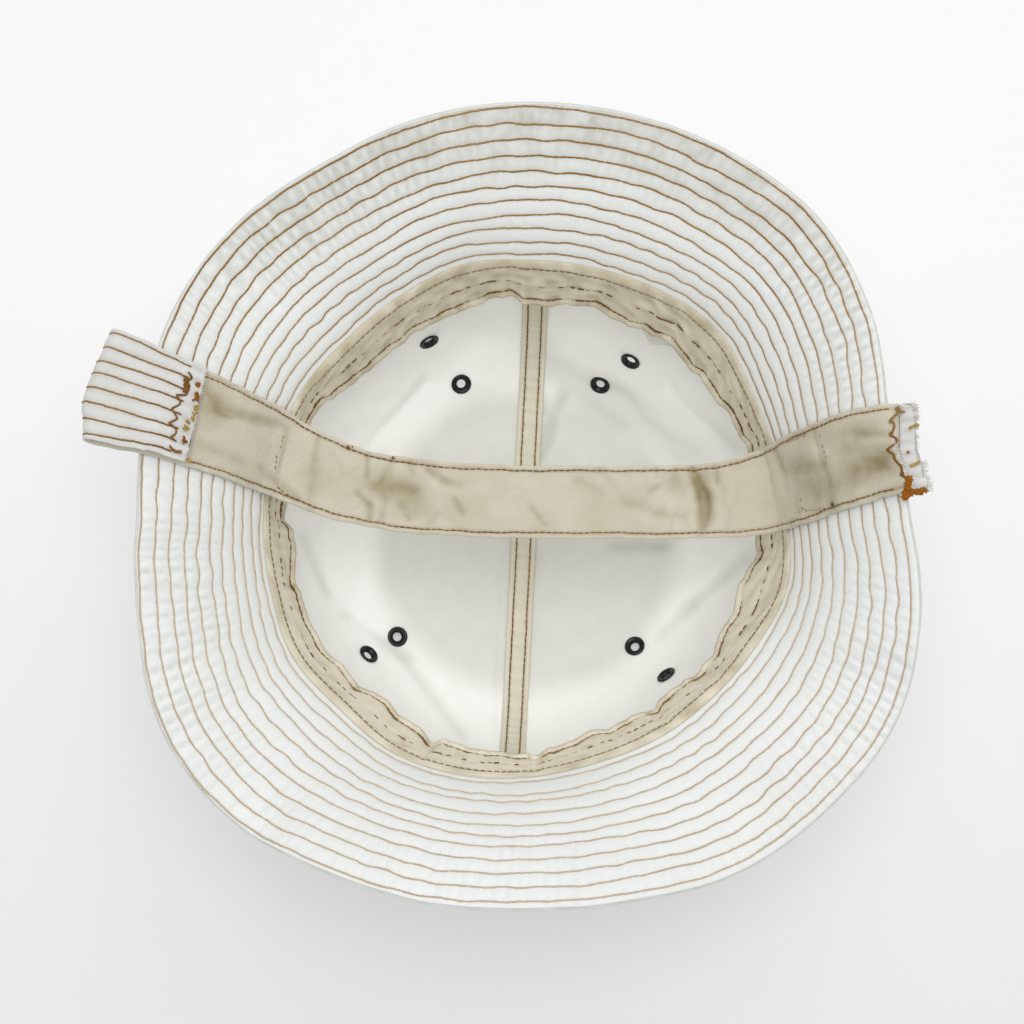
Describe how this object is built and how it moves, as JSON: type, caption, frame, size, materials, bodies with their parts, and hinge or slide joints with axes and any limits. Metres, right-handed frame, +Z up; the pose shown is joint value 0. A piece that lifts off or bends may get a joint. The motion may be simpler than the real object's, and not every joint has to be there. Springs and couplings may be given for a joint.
{
  "type": "sailor cap",
  "caption": "White cotton sailor cap with a stitched turn-down brim, a beige inner band and vent eyelets, lying crown down with a loose cloth strap across its opening",
  "frame": {"origin": "centre of the flat middle of the crown, on the surface that the cap lies on with its opening up", "axes": "+Z up out of the opening, +X along the strap towards its raw end, +Y along the crown's centre seam"},
  "size_m": [0.2887, 0.2808, 0.1463],
  "materials": {
    "white_cotton": "washed white cotton drill, matt",
    "quilted_white_cotton": "washed white cotton drill in two layers, matt, with brown rows of stitching",
    "beige_twill": "beige cotton twill, matt, a little stained",
    "label_cloth": "thin smooth white tape, bare",
    "black_eyelet": "black lacquered, half glossy"
  },
  "bodies": {
    "root": {"crown_left": "white_cotton", "crown_right": "white_cotton", "brim": "quilted_white_cotton", "sweatband": "beige_twill", "seam_tape": "beige_twill", "care_label": "label_cloth", "strap_face": "quilted_white_cotton", "strap_lining": "beige_twill", "eyelet_1": "black_eyelet", "eyelet_2": "black_eyelet", "eyelet_3": "black_eyelet", "eyelet_4": "black_eyelet", "eyelet_5": "black_eyelet", "eyelet_6": "black_eyelet", "eyelet_7": "black_eyelet", "eyelet_8": "black_eyelet"}
  },
  "joints": []
}
